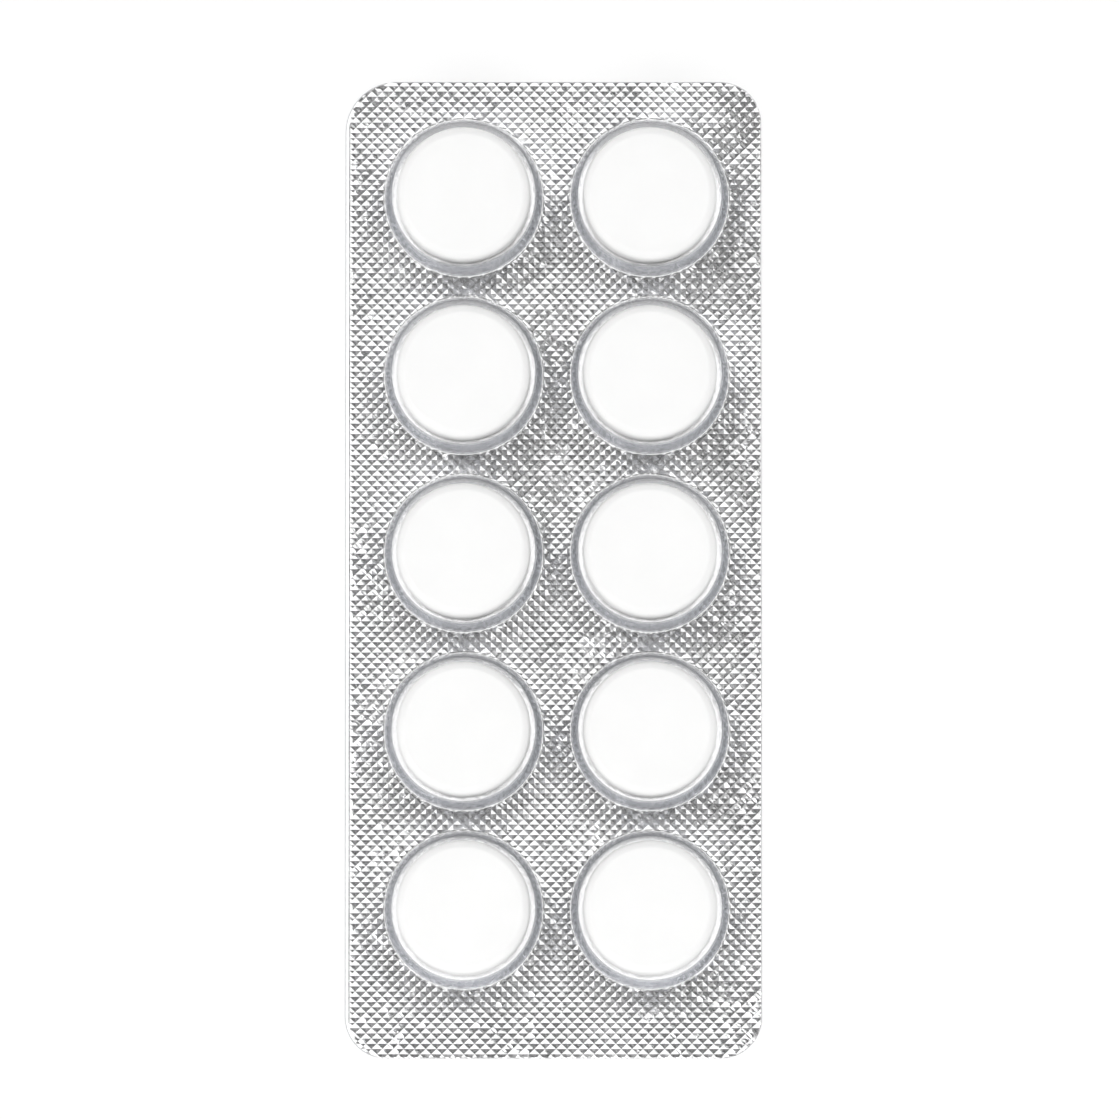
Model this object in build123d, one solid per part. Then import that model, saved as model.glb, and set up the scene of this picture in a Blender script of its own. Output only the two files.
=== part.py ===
"""Push-through blister pack: a clear thermoformed film with two columns of five round pockets,
an aluminium lidding foil sealed to its flat underside, and one round tablet in each pocket.

Frame: +X across the pack, +Y along it, +Z up through the pockets. The origin is the middle of the
pack's outline on the underside of the foil, which is the face that the pack lies on.
Units are millimetres.
"""

from build123d import *
import os

# ---- the pack's outline ----
PACK_WIDTH = 40.5
PACK_LENGTH = 95.2
CORNER_RADIUS = 4.0
SOFT_CORNER_RADIUS = 5.0  # the corner at -X, +Y is cut rounder than the other three

# ---- the two webs ----
FOIL_THICKNESS = 0.03  # hard aluminium with its seal lacquer
FILM_THICKNESS = 0.25  # formed film where it is still flat

# ---- the grid of pockets ----
COLUMNS = 2
ROWS = 5
PITCH_X = 18.1
PITCH_Y = 17.36
GRID_X = 0.32  # the grid's middle, measured from the middle of the outline
GRID_Y = 1.53

# ---- one tablet: flat faces with a bevel all round ----
TABLET_DIAMETER = 13.0
TABLET_THICKNESS = 4.2
BEVEL_WIDTH = 0.7
BEVEL_DEPTH = 0.3
TABLET_EDGE_RADIUS = 0.12
TABLET_SLIP = 0.1  # the tablets lie this far off the pockets' middles, towards +Y

# ---- one pocket, measured on the outside of the film ----
POCKET_BASE_RADIUS = 7.7  # where the wall would meet the flat web
POCKET_TOP_RADIUS = 7.12  # where the wall would meet the flat top
HEAD_ROOM = 0.55  # gap between the tablet and the top of the pocket
WALL_THICKNESS = 0.17  # the film thins as it is drawn up into the pocket
TOP_THICKNESS = 0.2
SHOULDER_RADIUS = 0.5
BASE_FILLET = 0.15
COLLAR_WIDTH = 0.6  # flat web that is made together with each pocket

# ---- heights that follow ----
FILM_BOTTOM = FOIL_THICKNESS
FILM_TOP = FILM_BOTTOM + FILM_THICKNESS
CEILING = FOIL_THICKNESS + TABLET_THICKNESS + HEAD_ROOM
POCKET_TOP = CEILING + TOP_THICKNESS


def pocket_places():
    """Centres of the pockets, column by column from -X and row by row from +Y."""
    first_x = GRID_X - PITCH_X * (COLUMNS - 1) / 2
    first_y = GRID_Y + PITCH_Y * (ROWS - 1) / 2
    return [
        (first_x + PITCH_X * column, first_y - PITCH_Y * row)
        for column in range(COLUMNS)
        for row in range(ROWS)
    ]


def outline():
    """The pack's flat outline: a rectangle with rounded corners, one of them rounder."""
    half_width = PACK_WIDTH / 2
    half_length = PACK_LENGTH / 2
    sheet = Rectangle(PACK_WIDTH, PACK_LENGTH)
    soft = sheet.vertices().sort_by_distance((-half_width, half_length, 0))[0]
    sheet = fillet(soft, SOFT_CORNER_RADIUS)
    sharp = [v for v in sheet.vertices() if abs(v.X) == half_width and abs(v.Y) == half_length]
    return fillet(sharp, CORNER_RADIUS)


def rounded_section(corners):
    """A closed profile in the XZ plane from (radius, height, corner radius) triples."""
    points = [(radius, height) for radius, height, _ in corners]
    section = make_face(Polyline(*points, close=True))
    for radius, height, bend in corners:
        if bend:
            corner = section.vertices().sort_by_distance((radius, height, 0))[0]
            section = fillet(corner, bend)
    return Plane.XZ * section


def pocket():
    """One pocket with a collar of flat film round its mouth, as a solid of revolution."""
    collar = POCKET_BASE_RADIUS + COLLAR_WIDTH
    section = rounded_section(
        [
            (0, POCKET_TOP, 0),
            (POCKET_TOP_RADIUS, POCKET_TOP, SHOULDER_RADIUS),
            (POCKET_BASE_RADIUS, FILM_TOP, BASE_FILLET),
            (collar, FILM_TOP, 0),
            (collar, FILM_BOTTOM, 0),
            (POCKET_BASE_RADIUS - WALL_THICKNESS, FILM_BOTTOM, BASE_FILLET + WALL_THICKNESS),
            (POCKET_TOP_RADIUS - WALL_THICKNESS, CEILING, SHOULDER_RADIUS - WALL_THICKNESS),
            (0, CEILING, 0),
        ]
    )
    return revolve(section, Axis.Z)


def forming_film(places):
    """The clear film: the flat web with all of its pockets, one piece."""
    web = Pos(0, 0, FILM_BOTTOM) * extrude(outline(), FILM_THICKNESS)
    hole = Cylinder(
        POCKET_BASE_RADIUS + COLLAR_WIDTH,
        POCKET_TOP,
        align=(Align.CENTER, Align.CENTER, Align.MIN),
    )
    web -= [Pos(x, y, 0) * hole for x, y in places]
    return web + [Pos(x, y, 0) * pocket() for x, y in places]


def lidding_foil():
    """The aluminium foil that closes every pocket from below."""
    return extrude(outline(), FOIL_THICKNESS)


def tablet():
    """One round tablet with flat faces, bevelled rims and a straight band, standing on z = 0."""
    radius = TABLET_DIAMETER / 2
    face = radius - BEVEL_WIDTH
    section = rounded_section(
        [
            (0, 0, 0),
            (face, 0, TABLET_EDGE_RADIUS),
            (radius, BEVEL_DEPTH, TABLET_EDGE_RADIUS),
            (radius, TABLET_THICKNESS - BEVEL_DEPTH, TABLET_EDGE_RADIUS),
            (face, TABLET_THICKNESS, TABLET_EDGE_RADIUS),
            (0, TABLET_THICKNESS, 0),
        ]
    )
    return revolve(section, Axis.Z)


def main():
    places = pocket_places()
    parts = {
        "forming_film": forming_film(places),
        "lidding_foil": lidding_foil(),
    }
    for number, (x, y) in enumerate(places, start=1):
        parts[f"tablet_{number:02d}"] = Pos(x, y + TABLET_SLIP, FOIL_THICKNESS) * tablet()
    os.makedirs("parts", exist_ok=True)
    for name, shape in parts.items():
        export_step(shape, os.path.join("parts", f"{name}.step"))


main()
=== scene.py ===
"""Looks of the push-through blister pack: knurled foil, clear formed film, chalky tablets and a studio.

Lengths are in metres in the frame's own axes: +X across the pack, +Y along it, +Z up through the
pockets. The foil's underside lies on z = 0.
"""

import math

import bpy
import numpy as np
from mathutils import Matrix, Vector


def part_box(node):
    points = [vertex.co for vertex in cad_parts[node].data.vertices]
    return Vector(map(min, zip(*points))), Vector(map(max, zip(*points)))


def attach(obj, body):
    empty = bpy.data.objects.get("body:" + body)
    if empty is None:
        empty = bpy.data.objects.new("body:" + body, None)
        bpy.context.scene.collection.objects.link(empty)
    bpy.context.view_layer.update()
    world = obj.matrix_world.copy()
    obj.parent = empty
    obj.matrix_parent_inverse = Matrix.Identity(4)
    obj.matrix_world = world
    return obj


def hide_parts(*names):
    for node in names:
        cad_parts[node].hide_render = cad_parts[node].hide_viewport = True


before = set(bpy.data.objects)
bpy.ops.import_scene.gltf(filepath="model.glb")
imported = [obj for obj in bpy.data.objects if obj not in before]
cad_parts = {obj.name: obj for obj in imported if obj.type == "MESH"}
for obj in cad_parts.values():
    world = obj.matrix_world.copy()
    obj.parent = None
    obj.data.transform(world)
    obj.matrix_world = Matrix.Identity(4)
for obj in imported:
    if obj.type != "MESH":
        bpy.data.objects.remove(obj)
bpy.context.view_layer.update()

bl_info = {
    "name": "Blister pack",
    "version": (1, 0, 0),
    "blender": (4, 5, 0),
    "location": "View3D > Sidebar > Blister pack",
    "description": "Makes the surfaces of a push-through blister pack and the studio it lies in",
    "category": "Object",
}

MM = 0.001
TABLETS = sorted(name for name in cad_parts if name.startswith("tablet"))
FOIL_LOW, FOIL_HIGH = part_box("lidding_foil")
FILM_LOW, FILM_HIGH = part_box("forming_film")
TABLET_LOW, TABLET_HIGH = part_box(TABLETS[0])
WHITE = (1.0, 1.0, 1.0, 1.0)

COSINES = 26  # in one ripple
PEAK_SPREAD = 0.11  # spread of the diamonds' heights
LEAN_SPREAD = 0.22  # spread of their slopes, along each of the two rows that cross
OFF_GROOVE = 1e-7  # puts a place that lies exactly on a groove always into the same diamond
PRESSED = (0.75, 1.25)  # least and most that a patch is pressed, as shares of the knurl's depth
MARGIN_STEP = 0.12 * MM  # width of the step from the knurl up to the plain margin
MARGIN_LEVEL = 1.1  # height of the plain margin, as a share of the knurl's depth
WAVE_MEAN, WAVE_SPREAD = 0.5, 0.21  # of the slow waves, as shares of their full height
CRUMPLED = (0.5, 1.4)  # where the third ripple is this high, the wrinkles come in
WRINKLE_LIMIT = 2.5  # highest wrinkle, in mean heights of one
FLAT_ROUND_POCKET = 2.6 * MM  # distance from a pocket over which the waves die out
FOIL_STEPS = 4  # steps of the foil's net to one diamond
FILM_STEPS = 2  # and of the film's
STRIP = (0.24, 0.74)  # columns of the plain margin, as shares of its width
SNAP = 0.36  # share of a step within which a place is moved onto the border
FILM_RELIEF = 0.45  # how much of the knurl shows on the film's upper side
FOOT_LEVEL = 0.25  # height of the pocket's foot over the flat film, as a share of the knurl's depth
CUT_EDGE = 0.6  # share of the film's thickness that is left at the cut edge
DISC_RINGS = (0.985, 0.93, 0.8, 0.55, 0.3, 0.0)  # of the foil under a pocket, as shares of its ring
ROOF_RINGS = (0.72, 0.4, 0.0)  # of the pocket's roof, as shares of its flat part
FACE_RINGS = (0.97, 0.6, 0.3)  # of a tablet's flat face, as shares of the face
OUTER_ARC, INNER_ARC = 7, 5  # points of each arc of the pocket's profile, outside and inside
TABLET_ARC = 4  # and of each rounded edge of a tablet's
TABLET_SEGMENTS = 128
FOIL_CREASE = math.radians(13)
FILM_CREASE = math.radians(40)
TABLET_CREASE = math.radians(50)

STEEP = (0.2, 0.65)  # Z of the surface's normal where it is fully steep, and where not at all
SIDEWAYS = (0.3, 0.75)  # how far the look turns from face on, 1 being edge on, as the painted shade comes in
GLANCING = (0.81, 0.94)  # and as it thins again
THINNED = 0.9  # share of the painted shade that is then gone
FACE_ON_MIRROR = 0.025  # share of mirror in the film, looked at face on
EDGE_ON_MIRROR = 0.55  # what is added to it edge on
SHADE_PAINTED_MIRROR = 0.45  # what is added to it where the steep walls take the painted shade

FLOOR_PLAIN = 0.16  # radius of the floor's plain middle
FLOOR_END = 0.42
FLOOR_SEGMENTS = 64
FLOOR_WHITE = 0.5  # share of plain white in what is seen of the floor
BACKDROP_FULL = 0.15  # sine of the height angle up to which mirrors see the backdrop at full strength
BACKDROP_END = 0.45
LAMP_TURN = math.radians(80)  # the lamps' second axis, from +X towards +Y
BOX_HEIGHT, BOX_ACROSS, BOX_ALONG = 1.2, (-2.0, 1.4), (-0.15, 1.2)
SKIRT_HEIGHT, SKIRT_ACROSS, SKIRT_ALONG = 1.21, (-2.0, 1.4), (-0.36, 1.2)
FILL_HEIGHT, FILL_ACROSS, FILL_ALONG = 0.5, (-2.0, 1.6), (-3.0, -1.2)


# ---------------------------------------------------------------------------------------------
# What a user may change
# ---------------------------------------------------------------------------------------------


def length(name, description, default, low=0.0):
    """A length property in metres."""
    return bpy.props.FloatProperty(
        name=name, description=description, default=default, min=low,
        subtype="DISTANCE", unit="LENGTH", precision=5,
    )


def share(name, description, default, high=1.0):
    """A plain number from 0 up."""
    return bpy.props.FloatProperty(name=name, description=description, default=default, min=0.0, max=high)


def colour(name, description, default):
    """A colour property, as scene-linear red, green and blue."""
    return bpy.props.FloatVectorProperty(
        name=name, description=description, default=default, min=0.0, max=1.0, size=3, subtype="COLOR",
    )


class BlisterWeb(bpy.types.PropertyGroup):
    """The flat web that film and foil share, and the knurl that the sealing roller presses into it."""

    corner: length("Corner radius", "Radius of three of the corners", 4.0 * MM)
    soft_corner: length("Soft corner radius", "Radius of the corner at -X, +Y", 5.0 * MM)
    film_thickness: length("Film thickness", "Thickness of the flat film", 0.25 * MM)
    air: length("Air", "Gap that keeps the film's surface off the foil's", 0.015 * MM)
    pitch_across: length("Pitch across", "Width of one diamond of the knurl", 1.055 * MM, 1e-5)
    pitch_along: length("Pitch along", "Length of one diamond of the knurl", 1.015 * MM, 1e-5)
    depth: length("Knurl depth", "Height of a diamond's peak over the grooves", 0.125 * MM)
    margin: length("Plain margin", "Unknurled strip along the edge at -X", 0.46 * MM)
    bulge: share("Bulge", "How round a diamond's sides are, 1 being flat", 1.5, 4.0)
    uneven: share("Unevenness", "Spread of the knurl's depth from patch to patch", 0.11)
    wave: length("Waviness", "Height of the slow waves in the sealed web", 0.05 * MM)
    crumple: length("Crumple", "Height of the short wrinkles that lie in patches", 0.005 * MM)
    lip: length("Lip", "Width of the cut edge, which the cutter bends down", 0.09 * MM)


class BlisterPocket(bpy.types.PropertyGroup):
    """One formed pocket."""

    ring: length("Ring radius", "Radius at which the flat web ends and the pocket's foot begins", 7.85 * MM)
    base: length("Base radius", "Outer radius where the wall would meet the web", 7.70 * MM)
    top: length("Top radius", "Outer radius where the wall would meet the flat top", 7.12 * MM)
    wall: length("Wall", "Thickness of the drawn film", 0.17 * MM)
    roof: length("Roof", "Thickness of the film over the tablet", 0.2 * MM)
    foot: length("Foot radius", "Outer radius of the bend at the foot", 0.15 * MM)
    shoulder: length("Shoulder radius", "Outer radius of the bend at the shoulder", 0.5 * MM)
    crown: length("Crown", "How far the top's middle stands over its rim", 0.06 * MM)


class BlisterTablet(bpy.types.PropertyGroup):
    """One tablet."""

    bevel_width: length("Bevel width", "Width of the bevel, seen from above", 0.7 * MM)
    bevel_depth: length("Bevel depth", "Height of the bevel, seen from the side", 0.3 * MM)
    edge: length("Edge radius", "Radius of the bevel's two edges", 0.55 * MM)
    slip: length("Slip", "How far the tablets lie off the pockets' middles, towards +Y", 0.1 * MM)


class BlisterFinish(bpy.types.PropertyGroup):
    """Colours and roughness of the three materials."""

    foil: colour("Foil", "Colour that the bare aluminium mirrors", (0.77, 0.77, 0.775))
    foil_roughness: share("Foil roughness", "Roughness of the rolled foil", 0.16)
    # the film colour is painted shade: a dark blue-grey that the steep pocket walls take where they are
    # seen from the side, in place of the dark reflections in clear walls
    film: colour("Film", "Colour of the film in the pockets' smoky walls", (0.31, 0.325, 0.36))
    tablet: colour("Tablet", "Colour of the pressed powder", (0.93, 0.93, 0.925))


class BlisterStudio(bpy.types.PropertyGroup):
    """The floor, the lamps and the camera."""

    frame_width: length("Frame width", "Width that the camera sees at the pack", 108.7 * MM)
    shift_x: length("Aim across", "How far the aim stands from the pack's middle, along X", 0.59 * MM)
    shift_y: length("Aim along", "How far the aim stands from the pack's middle, along Y", 0.78 * MM)
    elevation: bpy.props.FloatProperty(
        name="Elevation", description="Camera's height angle over the floor",
        default=math.radians(86.0), subtype="ANGLE", unit="ROTATION",
    )
    box_light: share("Soft box", "Radiance of the large soft box overhead", 1.36, 10.0)
    skirt_light: share("Skirt", "Radiance of the wider, dimmer box behind it", 0.30, 10.0)
    fill_light: share("Fill", "Radiance of the low strip in front", 4.0, 10.0)
    room_light: share("Room", "Radiance of the room round the soft box", 0.10, 10.0)


# ---------------------------------------------------------------------------------------------
# Shapes worked out with numpy
# ---------------------------------------------------------------------------------------------


def smoothstep(low, high, x):
    """0 below low, 1 above high, and 3t^2 - 2t^3 between."""
    t = np.clip((x - low) / (high - low), 0.0, 1.0)
    return t * t * (3.0 - 2.0 * t)


def tablet_centres():
    """Middles of the tablets' boxes, one row per tablet."""
    boxes = [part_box(name) for name in TABLETS]
    return np.array([[(low.x + high.x) / 2, (low.y + high.y) / 2] for low, high in boxes])


def pocket_centres():
    """Middles of the pockets: the tablets have slid a little towards +Y in them."""
    return tablet_centres() - [0.0, bpy.context.scene.blister_tablet.slip]


def outline_depth(xy, web):
    """Distance inside the rounded rectangle, and the unit vector that points further in.

    In the quadrant of each corner, with q = |xy| - (half size - corner radius), the distance
    outside is |max(q, 0)| + min(max(q), 0) - radius.
    """
    half = np.array([FOIL_HIGH.x, FOIL_HIGH.y])
    soft = (xy[:, 0] < 0) & (xy[:, 1] > 0)
    radius = np.where(soft, web.soft_corner, web.corner)[:, None]
    q = np.abs(xy) - (half - radius)
    out = np.maximum(q, 0.0)
    reach = np.linalg.norm(out, axis=1)
    depth = radius[:, 0] - reach - np.minimum(q.max(axis=1), 0.0)
    straight = np.where(q[:, :1] > q[:, 1:], [[1.0, 0.0]], [[0.0, 1.0]])
    away = np.where(reach[:, None] > 0, out / np.maximum(reach, 1e-12)[:, None], straight)
    return depth, -away * np.where(xy < 0, -1.0, 1.0)


def pocket_depth(xy, ring):
    """Distance outside the nearest pocket's ring, the unit vector away from it, and its number."""
    apart = xy[:, None, :] - pocket_centres()[None, :, :]
    reach = np.linalg.norm(apart, axis=2)
    nearest = reach.argmin(axis=1)
    row = np.arange(len(xy))
    return reach[row, nearest] - ring, apart[row, nearest] / reach[row, nearest][:, None], nearest


def ripple(xy, seed, shortest, longest):
    """A sum of cosines of random length, direction and phase, with mean 0 and spread 1."""
    draw = np.random.default_rng(seed)
    angle = draw.uniform(0, math.tau, COSINES)
    turn = math.tau / draw.uniform(shortest, longest, COSINES)
    phase = draw.uniform(0, math.tau, COSINES)
    along = xy @ np.stack([np.cos(angle) * turn, np.sin(angle) * turn])
    return np.cos(along + phase).sum(axis=1) * math.sqrt(2.0 / COSINES)


def margin_line(web):
    """X of the line where the plain margin ends and the knurl begins."""
    return FOIL_LOW.x + web.margin


def knurl(xy, web):
    """Height of the knurled web over its lowest level.

    With u = x / px + y / py and v = x / px - y / py, the grooves are where u or v is whole. A
    diamond rises from them by t = min(tri(u), tri(v)), tri being the triangle wave from 0 to 1, so
    it is a four-sided pyramid, and 1 - (1 - t)^bulge rounds its sides. Each is a little higher or
    lower than the next and leans a little, and whole patches are pressed more or less deeply.
    The plain margin stays near the peaks' height, over a narrow step.
    """
    draw = np.random.default_rng(5)
    x = (xy[:, 0] - margin_line(web)) / web.pitch_across
    y = xy[:, 1] / web.pitch_along
    u, v = x + y + OFF_GROOVE, x - y + OFF_GROOVE
    size = 256  # of the table of draws, which repeats beyond it
    column, row = np.floor(u).astype(int) % size, np.floor(v).astype(int) % size
    high = 1.0 + PEAK_SPREAD * draw.standard_normal((size, size))[column, row]
    lean_u, lean_v = (LEAN_SPREAD * draw.standard_normal((size, size))[column, row] for _ in range(2))
    in_u, in_v = u - np.floor(u) - 0.5, v - np.floor(v) - 0.5
    rise = 2.0 * np.minimum(0.5 - np.abs(in_u), 0.5 - np.abs(in_v))
    rise = 1.0 - (1.0 - rise) ** web.bulge
    rise = rise * high * (1.0 + lean_u * in_u + lean_v * in_v)
    from_margin = outline_depth(xy - [[web.margin, 0.0]], web)[0]
    from_margin = np.where(xy[:, 0] < 0, from_margin, 1.0)
    pressed = np.clip(1.0 + web.uneven * ripple(xy, 7, 8 * MM, 26 * MM), *PRESSED)
    plain = 1.0 - smoothstep(-MARGIN_STEP, 0.0, from_margin)
    return web.depth * (rise * pressed * (1.0 - plain) * (from_margin > 0) + MARGIN_LEVEL * plain)


def waves(xy, web, ring):
    """Slow waves of the sealed web and short wrinkles in patches of it, both flat at the pockets.

    The waves are a ripple whose lowest and highest parts are cut off flat. The wrinkles are a
    shorter ripple, cut off likewise, where a third ripple is high.
    """
    slow = web.wave * np.clip(WAVE_MEAN + WAVE_SPREAD * ripple(xy, 11, 7 * MM, 24 * MM), 0.0, 1.0)
    patch = smoothstep(*CRUMPLED, ripple(xy, 19, 7 * MM, 22 * MM))
    short = web.crumple * patch * np.clip(1.0 + ripple(xy, 3, 1.3 * MM, 3.4 * MM), 0.0, WRINKLE_LIMIT)
    return (slow + short) * smoothstep(0.0, FLAT_ROUND_POCKET, pocket_depth(xy, ring)[0])


class Net:
    """The web's outline, less its pockets, as triangles whose edges lie along the knurl's grooves.

    xy holds the places, triangles the counter-clockwise corners. rim is the loop just inside the
    outline and rings the loop of each pocket, as numbers of places in order of angle. cut holds
    the places on the outline itself, one outside each place of the rim.
    """

    def __init__(self, web, ring, divisor):
        """divisor is how many steps one diamond takes."""
        step = np.array([web.pitch_across, web.pitch_along]) / divisor
        start = margin_line(web)
        across = start + np.arange(0, int((FOIL_HIGH.x - start) / step[0]) + 2) * step[0]
        across = np.concatenate([FOIL_LOW.x + np.array(STRIP) * web.margin, across])
        reach = int(FOIL_HIGH.y / step[1]) + 1
        rows = np.arange(-reach, reach + 1)
        columns = np.arange(len(across)) - len(STRIP)
        self.xy = np.stack(np.meshgrid(across, rows * step[1], indexing="ij"), -1).reshape(-1, 2)
        self.triangles = self.split_cells(columns, rows, divisor)
        self.fit(web, ring, SNAP * step.min())

    def split_cells(self, columns, rows, divisor):
        """Two triangles to a cell, split along the diagonal on which a groove runs."""
        number = np.arange(len(columns) * len(rows)).reshape(len(columns), len(rows))
        a, b, c, d = number[:-1, :-1], number[1:, :-1], number[1:, 1:], number[:-1, 1:]
        rising = ((columns[:-1, None] - rows[None, :-1]) % divisor == 0)[..., None]
        first = np.where(rising, np.stack([a, b, c], -1), np.stack([a, b, d], -1))
        second = np.where(rising, np.stack([a, c, d], -1), np.stack([b, c, d], -1))
        return np.concatenate([first.reshape(-1, 3), second.reshape(-1, 3)])

    def fit(self, web, ring, near):
        """Keeps the triangles inside, and moves the places along the border exactly onto it.

        A triangle is kept if one of its corners is further inside than near.
        """
        edge, inward = outline_depth(self.xy, web)
        edge = edge - web.lip
        hole, outward, nearest = pocket_depth(self.xy, ring)
        by_edge = edge < hole
        depth = np.where(by_edge, edge, hole)
        way = np.where(by_edge[:, None], inward, outward)
        inside = depth > near
        kept = self.triangles[inside[self.triangles].any(axis=1)]
        used = np.unique(kept)
        border = used[~inside[used]]
        self.xy[border] -= depth[border, None] * way[border]
        number = np.zeros(len(self.xy), int)
        number[used] = np.arange(len(used))
        self.xy, self.triangles = self.xy[used], number[kept]
        border_edge = by_edge[border]
        self.rim = self.in_order(number[border[border_edge]], np.zeros(2))
        self.cut = self.xy[self.rim] - web.lip * outline_depth(self.xy[self.rim], web)[1]
        self.rings = [
            self.in_order(number[border[~border_edge & (nearest[border] == pocket)]], centre)
            for pocket, centre in enumerate(pocket_centres())
        ]

    def in_order(self, loop, centre):
        """The loop's places sorted by their angle round centre."""
        apart = self.xy[loop] - centre
        return loop[np.argsort(np.arctan2(apart[:, 1], apart[:, 0]))]


def bend(before, corner, after, radius, steps):
    """Points of the arc of that radius that rounds the corner between two straight runs."""
    into, out = (corner - before), (after - corner)
    into, out = into / np.linalg.norm(into), out / np.linalg.norm(out)
    turn = math.acos(float(np.clip(into @ out, -1.0, 1.0)))
    side = math.copysign(1.0, into[0] * out[1] - into[1] * out[0])
    begin = corner - into * radius * math.tan(turn / 2)
    t = np.linspace(0.0, turn, steps)[:, None]
    normal = side * np.array([-into[1], into[0]])
    return begin + radius * (np.sin(t) * into + (1.0 - np.cos(t)) * normal)


def dome_profile(pocket, web, inner, steps):
    """Radius and height from the ring to the pole, outside the film or, with inner, inside it.

    Straight runs joined by an arc at the foot and one at the shoulder. Over the roof the height
    falls with the square of the radius.
    """
    wall = pocket.wall if inner else 0.0
    floor = FILM_LOW.z + (web.air + web.depth if inner else web.film_thickness + web.depth * FOOT_LEVEL)
    ceiling = FILM_HIGH.z - (pocket.roof if inner else 0.0)
    start = np.array([pocket.ring, floor])
    foot = np.array([pocket.base - wall, floor])
    shoulder = np.array([pocket.top - wall, ceiling])
    middle = np.array([0.0, ceiling])
    low = bend(start, foot, shoulder, pocket.foot + wall, steps)
    high = bend(foot, shoulder, middle, pocket.shoulder - wall, steps)
    top = high[-1, 0] * np.array(ROOF_RINGS)
    rise = pocket.crown * (1.0 - (top / high[-1, 0]) ** 2)
    return np.concatenate([low, high, np.stack([top, ceiling + rise], -1)])


def turned(xy, loop, centre, profile, first):
    """Rings that run inwards from a loop to the pole, at the loop's own angles.

    profile holds radius and height of each ring, its last the pole. Returns the new places, which
    are numbered from first, and triangles that face up where the profile runs inwards.
    """
    apart = xy[loop] - centre
    way = apart / np.linalg.norm(apart, axis=1)[:, None]
    rings = profile[:-1]
    flat = centre + rings[:, None, :1] * way[None]
    high = np.broadcast_to(rings[:, None, 1:], flat.shape[:2] + (1,))
    pole = np.array([[centre[0], centre[1], profile[-1, 1]]])
    places = np.concatenate([np.concatenate([flat, high], -1).reshape(-1, 3), pole])
    count = len(loop)
    number = np.concatenate([loop[None], first + np.arange(len(rings) * count).reshape(-1, count)])
    a, b = number[:-1], number[1:]
    c, d = np.roll(b, -1, axis=1), np.roll(a, -1, axis=1)
    bands = np.concatenate([np.stack([a, d, c], -1).reshape(-1, 3), np.stack([a, c, b], -1).reshape(-1, 3)])
    tip = np.full(count, first + len(rings) * count)
    fan = np.stack([number[-1], np.roll(number[-1], -1), tip], -1)
    return places, np.concatenate([bands, fan])


def one_side(net, height, profile):
    """The net at those heights, with a turned surface in each ring. Everything faces up."""
    places, faces = [np.column_stack([net.xy, height])], [net.triangles]
    count = len(net.xy)
    for loop, centre in zip(net.rings, pocket_centres()):
        new, turned_faces = turned(net.xy, loop, centre, profile, count)
        places.append(new)
        faces.append(turned_faces)
        count += len(new)
    return np.concatenate(places), np.concatenate(faces)


def closed_shell(net, top, bottom, cut_high, cut_low):
    """Top and bottom sides, each a pair of heights and profile, joined by the cut edge all round.

    cut_high and cut_low are the heights of the cut's upper and lower edge on the outline.
    """
    upper, upper_faces = one_side(net, *top)
    lower, lower_faces = one_side(net, *bottom)
    cuts = [np.column_stack([net.cut, np.full(len(net.cut), high)]) for high in (cut_high, cut_low)]
    first = len(upper) + len(lower)
    cut = first + np.arange(len(net.cut))
    loops = np.stack([net.rim, cut, cut + len(cut), net.rim + len(upper)])
    a, b = loops[:-1], loops[1:]
    c, d = np.roll(b, -1, axis=1), np.roll(a, -1, axis=1)
    edge = [np.stack([a, b, c], -1).reshape(-1, 3), np.stack([a, c, d], -1).reshape(-1, 3)]
    faces = [upper_faces, lower_faces[:, ::-1] + len(upper), *edge]
    return np.concatenate([upper, lower, *cuts]), np.concatenate(faces)


def lathe(profile, centre, segments):
    """A closed solid of revolution: the profile runs from its lower pole to its upper one."""
    angle = np.arange(segments) * math.tau / segments
    rings = profile[1:-1]
    x = centre[0] + rings[:, :1] * np.cos(angle)
    y = centre[1] + rings[:, :1] * np.sin(angle)
    z = np.broadcast_to(rings[:, 1:], x.shape)
    poles = [[centre[0], centre[1], profile[0, 1]], [centre[0], centre[1], profile[-1, 1]]]
    places = np.concatenate([np.stack([x, y, z], -1).reshape(-1, 3), poles])
    number = np.arange(x.size).reshape(x.shape)
    after = np.roll(number, -1, axis=1)
    a, b, c, d = number[:-1], after[:-1], after[1:], number[1:]
    low, high = np.full(segments, x.size), np.full(segments, x.size + 1)
    faces = [
        np.stack([a, b, c], -1).reshape(-1, 3),
        np.stack([a, c, d], -1).reshape(-1, 3),
        np.stack([low, after[0], number[0]], -1),
        np.stack([number[-1], after[-1], high], -1),
    ]
    return places, np.concatenate(faces)


def tablet_profile(shape):
    """Radius and height from the lower pole to the upper: face, bevel, band, bevel, face."""
    radius = (TABLET_HIGH.x - TABLET_LOW.x) / 2
    face = radius - shape.bevel_width
    low, high = TABLET_LOW.z, TABLET_HIGH.z
    corners = np.array([
        [0.0, low], [face, low], [radius, low + shape.bevel_depth],
        [radius, high - shape.bevel_depth], [face, high], [0.0, high],
    ])
    arcs = [bend(*corners[i - 1:i + 2], shape.edge, TABLET_ARC) for i in range(1, 5)]
    inner = np.array(FACE_RINGS)[:, None] * [face, 0.0]
    lower, upper = inner[::-1] + [0.0, low], inner + [0.0, high]
    return np.concatenate([corners[:1], lower, *arcs, upper, corners[-1:]])


def new_piece(name, places, faces, crease):
    """A mesh object at the origin. Edges that turn by more than crease are sharp."""
    mesh = bpy.data.meshes.new(name)
    mesh.from_pydata(places.tolist(), [], faces.tolist())
    mesh.polygons.foreach_set("use_smooth", np.ones(len(mesh.polygons), bool))
    mesh.set_sharp_from_angle(angle=crease)
    mesh.update()
    piece = bpy.data.objects.new(name, mesh)
    bpy.context.scene.collection.objects.link(piece)
    return piece


# ---------------------------------------------------------------------------------------------
# Materials
# ---------------------------------------------------------------------------------------------


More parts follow.
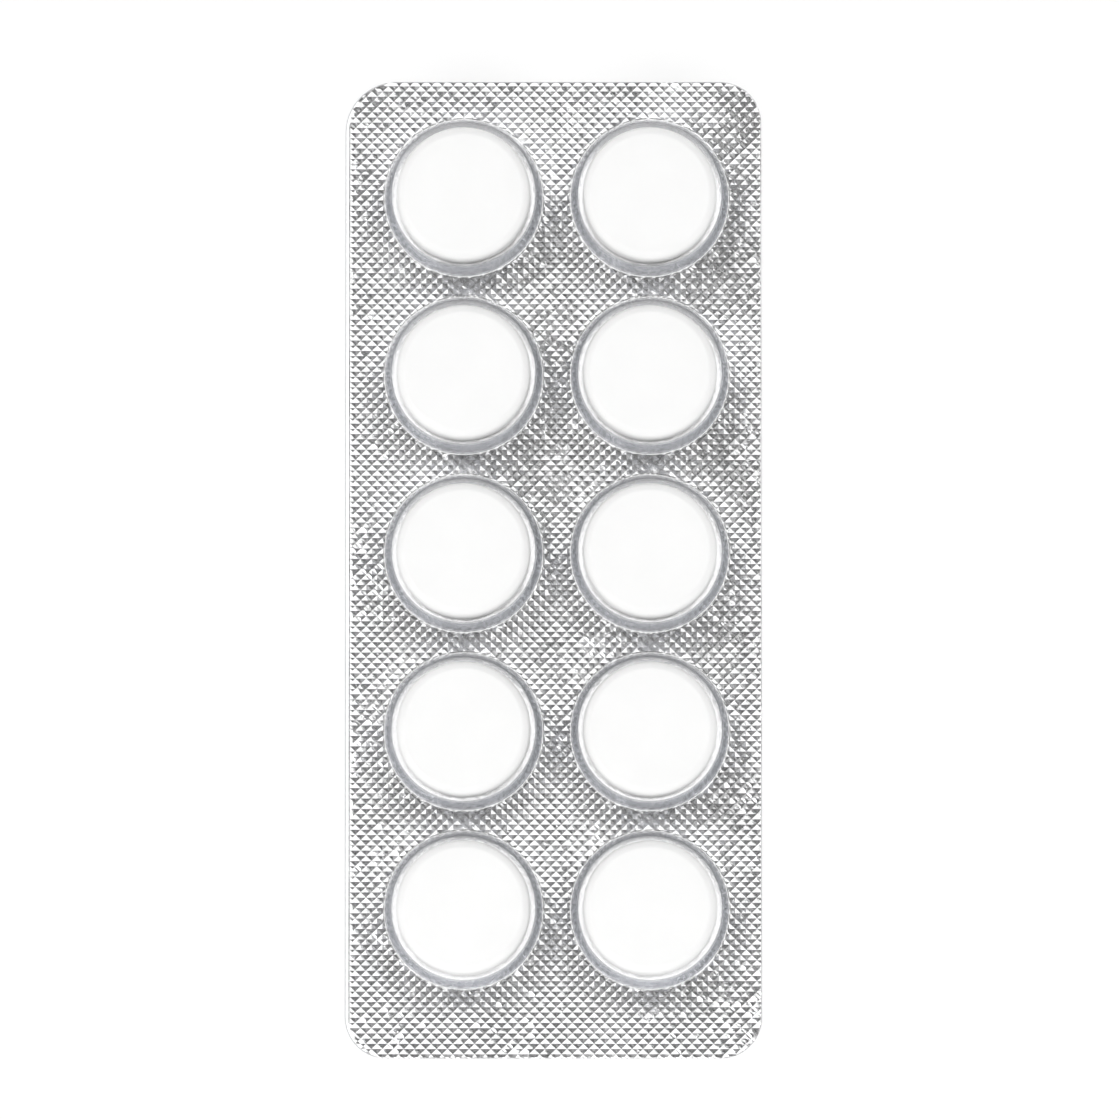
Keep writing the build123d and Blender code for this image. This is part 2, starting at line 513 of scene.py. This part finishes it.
class Wire:
    """A socket that carries a number, so that shader maths is written as Python expressions."""

    def __init__(self, graph, socket):
        self.graph, self.socket = graph, socket

    def maths(self, operation, *values):
        return self.graph.node("ShaderNodeMath", {"operation": operation}, dict(enumerate(values)))

    def __add__(self, other):
        return self.maths("ADD", self, other)

    def __sub__(self, other):
        return self.maths("SUBTRACT", self, other)

    def __rsub__(self, other):
        return self.maths("SUBTRACT", other, self)

    def __mul__(self, other):
        return self.maths("MULTIPLY", self, other)

    def __pow__(self, other):
        return self.maths("POWER", self, other)

    __radd__, __rmul__ = __add__, __mul__

    def step(self, low, high):
        """Smooth step from 0 at low to 1 at high."""
        values = {"Value": self, "From Min": low, "From Max": high}
        return self.graph.node("ShaderNodeMapRange", {"interpolation_type": "SMOOTHSTEP"}, values)


class Graph:
    """The nodes of one material or of the world."""

    def __init__(self, owner, output="ShaderNodeOutputMaterial"):
        owner.use_nodes = True
        self.tree, self.output = owner.node_tree, output
        self.tree.nodes.clear()

    def node(self, kind, settings=None, values=None, output=0):
        """Adds a node: settings first, then the values or links of its inputs. Returns one output."""
        node = self.tree.nodes.new(kind)
        for key, value in (settings or {}).items():
            setattr(node, key, value)
        for key, value in (values or {}).items():
            if isinstance(value, Wire):
                self.tree.links.new(value.socket, node.inputs[key])
            else:
                node.inputs[key].default_value = value
        return Wire(self, node.outputs[output])

    def place(self):
        """Object coordinates, which are the frame's own, in metres."""
        return self.node("ShaderNodeTexCoord", output="Object")

    def noise(self, grain, detail=2.0, roughness=0.5):
        """Smooth noise from 0 to 1 whose grains are about that many metres across."""
        values = {"Vector": self.place(), "Scale": 1.0 / grain, "Detail": detail, "Roughness": roughness}
        return self.node("ShaderNodeTexNoise", {"normalize": True}, values)

    def blend(self, share, first, second):
        """A colour between first and second."""
        return self.node("ShaderNodeMix", {"data_type": "RGBA"}, {0: share, 6: first, 7: second}, output=2)

    def mix(self, share, first, second):
        """A shader between first and second."""
        return self.node("ShaderNodeMixShader", None, {0: share, 1: first, 2: second})

    def bump(self, height, distance, normal=None):
        """A normal bent by height times distance, in metres, on top of another bent normal."""
        values = {"Height": height, "Distance": distance}
        if normal:
            values["Normal"] = normal
        return self.node("ShaderNodeBump", None, values)

    def seen_directly(self):
        """1 for rays from the camera, a mirror or glass, and 0 for those that light a matt surface."""
        kinds = ("Is Camera Ray", "Is Glossy Ray", "Is Transmission Ray")
        camera, mirror, glass = (self.node("ShaderNodeLightPath", output=kind) for kind in kinds)
        seen = camera + mirror + glass
        return seen.maths("MINIMUM", seen, 1.0)

    def surface(self, shader):
        """Links a shader to a new output node."""
        out = self.tree.nodes.new(self.output)
        self.tree.links.new(shader.socket, out.inputs["Surface"])


def opaque(rgb, scale=1.0):
    """A colour with alpha, scaled."""
    return (rgb[0] * scale, rgb[1] * scale, rgb[2] * scale, 1.0)


def new_material(name):
    """A new material and its nodes, which are empty at first."""
    material = bpy.data.materials.new(name)
    return material, Graph(material)


def foil_material(finish):
    """Rolled aluminium: a mirror blurred by fine grain, with dull patches and small creases."""
    material, graph = new_material("rolled_foil")
    patches = graph.noise(6 * MM, 3.0)
    grain = graph.noise(0.16 * MM, 3.0, 0.6)
    creases = graph.noise(0.55 * MM, 2.0)
    bent = graph.bump(creases, 0.015 * MM, graph.bump(grain, 0.006 * MM))
    shader = graph.node("ShaderNodeBsdfPrincipled", None, {
        "Base Color": graph.blend(patches.step(0.3, 0.7), opaque(finish.foil, 0.95), opaque(finish.foil)),
        "Metallic": 1.0,
        "Roughness": finish.foil_roughness + (patches - 0.5) * 0.12,
        "Normal": bent,
    })
    graph.surface(shader)
    return material


def film_material(finish):
    """Clear film as a thin skin: a faint mirror face on, a stronger one edge on, and painted shade in steep
    walls.

    The painted shade is a dark blue-grey that the steep walls take where they are seen from the side, in
    place of the dark reflections that clear walls show. It thins again where the look is nearly along the
    surface, and the mirror turns clean.
    """
    material, graph = new_material("clear_film")
    facing = graph.node("ShaderNodeLayerWeight", None, {"Blend": 0.5}, output="Facing")
    normal = graph.node("ShaderNodeTexCoord", output="Normal")
    level = graph.node("ShaderNodeSeparateXYZ", None, {0: normal}, output="Z")
    steep = 1.0 - level.maths("ABSOLUTE", level).step(*STEEP)
    # painted shade: where the steep walls are seen from the side they turn a dark blue-grey, in place of
    # the dark reflections that clear walls show
    shade_painted = steep * facing.step(*SIDEWAYS) * (1.0 - facing.step(*GLANCING) * THINNED)
    mirror = FACE_ON_MIRROR + facing ** 5.0 * EDGE_ON_MIRROR + shade_painted * SHADE_PAINTED_MIRROR
    grain = graph.bump(graph.noise(0.9 * MM, 2.0), 0.01 * MM)
    # in the painted shade the gloss takes the dark blue-grey film colour and turns half matt
    gloss = graph.node("ShaderNodeBsdfPrincipled", None, {
        "Base Color": graph.blend(shade_painted, (0.95, 0.95, 0.95, 1.0), opaque(finish.film)),
        "Metallic": 1.0 - shade_painted * 0.6,
        "Specular IOR Level": 0.0,
        "Roughness": 0.06,
        "Normal": grain,
    })
    clear = graph.node("ShaderNodeBsdfTransparent", None, {"Color": (0.99, 0.99, 0.99, 1.0)})
    graph.surface(graph.mix(mirror, clear, gloss))
    return material


def tablet_material(finish):
    """Pressed powder: white, matt, finely pitted."""
    material, graph = new_material("pressed_powder")
    speckle = graph.noise(0.18 * MM, 4.0, 0.7)
    cloud = graph.noise(3.5 * MM, 3.0)
    shade = speckle.step(0.25, 0.6) * 0.6 + cloud.step(0.3, 0.7) * 0.4
    shader = graph.node("ShaderNodeBsdfPrincipled", None, {
        "Base Color": graph.blend(shade, opaque(finish.tablet, 0.965), opaque(finish.tablet)),
        "Roughness": 0.62 + speckle * 0.2,
        "Specular IOR Level": 0.3,
        "Normal": graph.bump(speckle, 0.02 * MM),
    })
    graph.surface(shader)
    return material


def floor_material():
    """A white floor that fades out far from the pack, where the white backdrop takes over.

    Half of what the camera and mirrors see of it is plain white, so shadows on it stay soft.
    """
    material, graph = new_material("studio_floor")
    away = graph.node("ShaderNodeVectorMath", {"operation": "LENGTH"}, {0: graph.place()}, output="Value")
    matt = graph.node("ShaderNodeBsdfDiffuse", None, {"Color": (0.97, 0.97, 0.97, 1.0)})
    white = graph.node("ShaderNodeEmission", None, {"Color": WHITE, "Strength": 1.0})
    bright = graph.mix(graph.seen_directly() * FLOOR_WHITE, matt, white)
    gone = graph.node("ShaderNodeBsdfTransparent")
    graph.surface(graph.mix(away.step(FLOOR_PLAIN, FLOOR_END), bright, gone))
    return material


# ---------------------------------------------------------------------------------------------
# Operators
# ---------------------------------------------------------------------------------------------


def join_frame(piece, node, material):
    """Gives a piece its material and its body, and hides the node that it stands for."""
    piece.data.materials.append(material)
    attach(piece, "root")
    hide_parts(node)


class BLISTER_OT_foil(bpy.types.Operator):
    """Makes the knurled lidding foil, pressed through, with a smooth disc under each tablet"""

    bl_idname = "blister.foil"
    bl_label = "Lidding foil"

    def execute(self, context):
        scene = context.scene
        web, pocket = scene.blister_web, scene.blister_pocket
        net = Net(web, pocket.ring, FOIL_STEPS)
        under = knurl(net.xy, web) + waves(net.xy, web, pocket.ring)
        thickness = FOIL_HIGH.z - FOIL_LOW.z
        radius = pocket.ring * np.array(DISC_RINGS)
        disc = np.stack([radius, np.zeros_like(radius)], -1)
        top = (under + thickness, disc + [0.0, thickness])
        places, faces = closed_shell(net, top, (under, disc), thickness, 0.0)
        piece = new_piece("knurled_foil", places, faces, FOIL_CREASE)
        join_frame(piece, "lidding_foil", foil_material(scene.blister_finish))
        return {"FINISHED"}


class BLISTER_OT_film(bpy.types.Operator):
    """Makes the clear film: a softly knurled web with ten hollow pockets"""

    bl_idname = "blister.film"
    bl_label = "Forming film"

    def execute(self, context):
        scene = context.scene
        web, pocket = scene.blister_web, scene.blister_pocket
        net = Net(web, pocket.ring, FILM_STEPS)
        pressed = knurl(net.xy, web)
        wave = waves(net.xy, web, pocket.ring)
        under = FILM_LOW.z + web.air + pressed + wave
        over = FILM_LOW.z + web.film_thickness + pressed * FILM_RELIEF + wave
        top = (over, dome_profile(pocket, web, False, OUTER_ARC))
        bottom = (under, dome_profile(pocket, web, True, INNER_ARC))
        cut_low = FILM_LOW.z + web.air
        places, faces = closed_shell(net, top, bottom, cut_low + web.film_thickness * CUT_EDGE, cut_low)
        piece = new_piece("formed_film", places, faces, FILM_CREASE)
        join_frame(piece, "forming_film", film_material(scene.blister_finish))
        return {"FINISHED"}


class BLISTER_OT_tablets(bpy.types.Operator):
    """Makes the ten bevelled tablets, one in each pocket"""

    bl_idname = "blister.tablets"
    bl_label = "Tablets"

    def execute(self, context):
        scene = context.scene
        material = tablet_material(scene.blister_finish)
        profile = tablet_profile(scene.blister_tablet)
        for name, centre in zip(TABLETS, tablet_centres()):
            places, faces = lathe(profile, centre, TABLET_SEGMENTS)
            piece = new_piece(name + "_pressed", places, faces, TABLET_CREASE)
            join_frame(piece, name, material)
        return {"FINISHED"}


def soft_box(name, height, across, along, radiance):
    """A one-sided lamp that lies level over the pack and faces down.

    across and along are its limits along its own two axes, as tangents of the angle from straight
    up. The second axis points along LAMP_TURN.
    """
    lamp = bpy.data.lights.new(name, "AREA")
    lamp.shape = "RECTANGLE"
    lamp.size, lamp.size_y = height * (across[1] - across[0]), height * (along[1] - along[0])
    lamp.energy = radiance * math.pi * lamp.size * lamp.size_y
    holder = bpy.data.objects.new(name, lamp)
    side, ahead = sum(across) / 2 * height, sum(along) / 2 * height
    holder.location = (
        side * math.sin(LAMP_TURN) + ahead * math.cos(LAMP_TURN),
        ahead * math.sin(LAMP_TURN) - side * math.cos(LAMP_TURN),
        height,
    )
    holder.rotation_euler = (0.0, 0.0, LAMP_TURN - math.pi / 2)
    holder.visible_camera = False
    bpy.context.scene.collection.objects.link(holder)


def studio_world(studio):
    """A dim room for everything that it lights, and a white backdrop for the camera.

    Mirrors and glass see the backdrop too, but only low down: overhead they see the dim room.
    """
    world = bpy.data.worlds.new("studio_room")
    bpy.context.scene.world = world
    graph = Graph(world, "ShaderNodeOutputWorld")
    room, white = (
        graph.node("ShaderNodeBackground", None, {"Color": WHITE, "Strength": strength})
        for strength in (studio.room_light, 1.0)
    )
    way = graph.node("ShaderNodeTexCoord", output="Generated")
    height = graph.node("ShaderNodeSeparateXYZ", None, {0: way}, output="Z")
    low_down = 1.0 - height.step(BACKDROP_FULL, BACKDROP_END)
    straight = graph.node("ShaderNodeLightPath", output="Is Camera Ray")
    shown = straight.maths("MAXIMUM", straight, graph.seen_directly() * low_down)
    graph.surface(graph.mix(shown, room, white))


def studio_camera(studio):
    """A long lens that looks almost straight down, with +Y up in the picture."""
    data = bpy.data.cameras.new("camera")
    data.lens, data.sensor_width = 500.0, 36.0
    distance = studio.frame_width * data.lens / data.sensor_width
    data.clip_start, data.clip_end = 0.05, 20.0
    camera = bpy.data.objects.new("camera", data)
    back = Vector((0.0, -math.cos(studio.elevation), math.sin(studio.elevation)))
    aim = Vector((studio.shift_x, studio.shift_y, FILM_HIGH.z / 2))
    camera.location = aim + back * distance
    camera.rotation_euler = (math.pi / 2 - studio.elevation, 0.0, 0.0)
    bpy.context.scene.collection.objects.link(camera)
    bpy.context.scene.camera = camera


class BLISTER_OT_studio(bpy.types.Operator):
    """Makes the pale floor, the soft lamps, the backdrop and the camera"""

    bl_idname = "blister.studio"
    bl_label = "Studio"

    def execute(self, context):
        studio = context.scene.blister_studio
        angle = np.arange(FLOOR_SEGMENTS) * math.tau / FLOOR_SEGMENTS
        rim = np.stack([np.cos(angle), np.sin(angle), np.zeros(FLOOR_SEGMENTS)], -1) * FLOOR_END
        mesh = bpy.data.meshes.new("floor")
        mesh.from_pydata(rim.tolist(), [], [list(range(FLOOR_SEGMENTS))])
        floor = bpy.data.objects.new("floor", mesh)
        mesh.materials.append(floor_material())
        context.scene.collection.objects.link(floor)
        soft_box("soft_box", BOX_HEIGHT, BOX_ACROSS, BOX_ALONG, studio.box_light)
        soft_box("skirt", SKIRT_HEIGHT, SKIRT_ACROSS, SKIRT_ALONG, studio.skirt_light)
        soft_box("fill_strip", FILL_HEIGHT, FILL_ACROSS, FILL_ALONG, studio.fill_light)
        studio_world(studio)
        studio_camera(studio)
        context.scene.view_settings.view_transform = "Standard"
        return {"FINISHED"}


class BLISTER_PT_pack(bpy.types.Panel):
    """Lists what makes the blister pack"""

    bl_label = "Blister pack"
    bl_idname = "BLISTER_PT_pack"
    bl_space_type = "VIEW_3D"
    bl_region_type = "UI"
    bl_category = "Blister pack"

    def draw(self, context):
        for operator in OPERATORS:
            self.layout.operator(operator.bl_idname)
        for name, group in GROUPS.items():
            box = self.layout.box()
            for key in group.__annotations__:
                box.prop(getattr(context.scene, name), key)


OPERATORS = (BLISTER_OT_studio, BLISTER_OT_foil, BLISTER_OT_film, BLISTER_OT_tablets)
GROUPS = {
    "blister_web": BlisterWeb,
    "blister_pocket": BlisterPocket,
    "blister_tablet": BlisterTablet,
    "blister_finish": BlisterFinish,
    "blister_studio": BlisterStudio,
}


def register():
    for name, group in GROUPS.items():
        bpy.utils.register_class(group)
        setattr(bpy.types.Scene, name, bpy.props.PointerProperty(type=group))
    for operator in OPERATORS:
        bpy.utils.register_class(operator)
    bpy.utils.register_class(BLISTER_PT_pack)


def unregister():
    bpy.utils.unregister_class(BLISTER_PT_pack)
    for operator in reversed(OPERATORS):
        bpy.utils.unregister_class(operator)
    for name, group in reversed(list(GROUPS.items())):
        delattr(bpy.types.Scene, name)
        bpy.utils.unregister_class(group)


def main():
    """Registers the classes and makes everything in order."""
    register()
    bpy.ops.blister.studio()
    bpy.ops.blister.foil()
    bpy.ops.blister.film()
    bpy.ops.blister.tablets()


if __name__ == "__main__":
    main()
